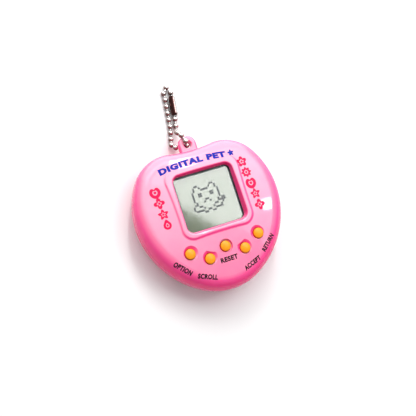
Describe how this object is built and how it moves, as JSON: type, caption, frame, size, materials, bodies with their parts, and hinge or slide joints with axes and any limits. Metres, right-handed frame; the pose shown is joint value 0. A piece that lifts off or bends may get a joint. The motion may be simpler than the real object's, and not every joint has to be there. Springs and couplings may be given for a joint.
{
  "type": "virtual pet keychain",
  "caption": "Egg-shaped pocket electronic pet with a square screen, domed press keys, a screwed battery door and a ball-chain loop on a hanging tab.",
  "frame": {"origin": "centre of the flat back, on the face that the toy rests on", "axes": "+X to the right of the screen as a player sees it, +Y from the keys towards the hanging tab, +Z out of the face with the screen"},
  "size_m": [0.0532, 0.0773, 0.0158],
  "materials": {
    "shell_pink": "glossy pale pink ABS, fine moulded surface",
    "key_amber": "satin amber-orange moulded keys",
    "lens_clear": "clear polished acrylic window",
    "lcd_glass": "grey-green liquid-crystal glass with polariser",
    "reflector_foil": "satin backing foil",
    "holder_black": "matt black moulded holder",
    "elastomer": "striped conductive elastomer",
    "board_green": "green solder mask on glass-fibre laminate",
    "resin_black": "glossy black epoxy",
    "component_metal": "satin can",
    "component_ceramic": "matt ceramic chips with tinned ends",
    "capacitor_sleeve": "dark blue sleeve",
    "carbon": "matt conductive carbon",
    "silicone_sheet": "translucent milky silicone",
    "buzzer_brass": "thin rolled brass disc",
    "buzzer_ceramic": "silvered white piezo ceramic",
    "lead_sleeve": "red and black insulated leads",
    "cell_steel": "nickel-plated cell cans",
    "contact_steel": "plated spring steel contacts",
    "screw_steel": "zinc-plated screws",
    "chain_chrome": "nickel-plated ball chain"
  },
  "bodies": {
    "root": {"buzzer_ceramic": "buzzer_ceramic", "buzzer_disc": "buzzer_brass", "buzzer_leads": "lead_sleeve", "case_screws": "screw_steel", "cell_left": "cell_steel", "cell_right": "cell_steel", "chip_resin_drop": "resin_black", "chip_resistors": "component_ceramic", "circuit_board": "board_green", "connector_strip_lower": "elastomer", "connector_strip_upper": "elastomer", "contact_negative": "contact_steel", "contact_positive": "contact_steel", "filter_capacitor": "capacitor_sleeve", "front_shell": "shell_pink", "key_contact_pads": "carbon", "key_dome_accept": "silicone_sheet", "key_dome_option": "silicone_sheet", "key_dome_reset": "silicone_sheet", "key_dome_return": "silicone_sheet", "key_dome_scroll": "silicone_sheet", "keypad_sheet": "silicone_sheet", "lcd_glass": "lcd_glass", "lcd_holder": "holder_black", "lcd_lens": "lens_clear", "lcd_reflector": "reflector_foil", "rear_shell": "shell_pink", "timing_crystal": "component_metal"},
    "key_option": {"button_option": "key_amber", "key_pill_option": "carbon"},
    "key_scroll": {"button_scroll": "key_amber", "key_pill_scroll": "carbon"},
    "key_reset": {"button_reset": "key_amber", "key_pill_reset": "carbon"},
    "key_accept": {"button_accept": "key_amber", "key_pill_accept": "carbon"},
    "key_return": {"button_return": "key_amber", "key_pill_return": "carbon"},
    "battery_door_body": {"battery_door": "shell_pink", "door_bridge_strip": "contact_steel"},
    "door_screw_body": {"door_screw": "screw_steel"},
    "chain_anchor": {"chain_anchor_balls": "chain_chrome", "chain_anchor_pins": "chain_chrome"},
    "chain_run": {"chain_run_balls": "chain_chrome", "chain_run_pins": "chain_chrome"},
    "chain_sleeve": {"chain_connector": "chain_chrome"},
    "chain_end": {"chain_end_ball": "chain_chrome", "chain_end_pins": "chain_chrome"}
  },
  "joints": [
    {"name": "key_option_press", "type": "slide", "parent": "root", "child": "key_option", "axis": [0, 0, -1], "range_m": [0, 0.0006], "stiffness_N_per_m": 1500, "deforming": ["key_dome_option"]},
    {"name": "key_scroll_press", "type": "slide", "parent": "root", "child": "key_scroll", "axis": [0, 0, -1], "range_m": [0, 0.0006], "stiffness_N_per_m": 1500, "deforming": ["key_dome_scroll"]},
    {"name": "key_reset_press", "type": "slide", "parent": "root", "child": "key_reset", "axis": [0, 0, -1], "range_m": [0, 0.0006], "stiffness_N_per_m": 1500, "deforming": ["key_dome_reset"]},
    {"name": "key_accept_press", "type": "slide", "parent": "root", "child": "key_accept", "axis": [0, 0, -1], "range_m": [0, 0.0006], "stiffness_N_per_m": 1500, "deforming": ["key_dome_accept"]},
    {"name": "key_return_press", "type": "slide", "parent": "root", "child": "key_return", "axis": [0, 0, -1], "range_m": [0, 0.0006], "stiffness_N_per_m": 1500, "deforming": ["key_dome_return"]},
    {"name": "battery_door_lift", "type": "slide", "parent": "root", "child": "battery_door_body", "axis": [0, 0, -1], "range_m": [0, 0.008]},
    {"name": "door_screw_turn", "type": "hinge", "parent": "battery_door_body", "child": "door_screw_body", "pos_m": [0.0163, 0.005, 0.002], "axis": [0, 0, -1], "continuous": true},
    {"name": "chain_swivel", "type": "hinge", "parent": "root", "child": "chain_anchor", "pos_m": [0, 0.0273, 0.0078], "axis": [0, 0, 1], "range_deg": [-25, 30]},
    {"name": "chain_lift", "type": "hinge", "parent": "chain_anchor", "child": "chain_run", "pos_m": [-0.00072, 0.03639, 0.001], "axis": [0.9903, -0.1392, 0], "range_deg": [0, 85]},
    {"name": "chain_curl", "type": "hinge", "parent": "chain_run", "child": "chain_end", "pos_m": [0.00107, 0.04856, 0.001], "axis": [0.9903, -0.1392, 0], "range_deg": [0, 50]},
    {"name": "connector_spin", "type": "hinge", "parent": "chain_run", "child": "chain_sleeve", "pos_m": [0.00172, 0.04347, 0.0013], "axis": [0.1392, 0.9903, 0], "continuous": true}
  ]
}
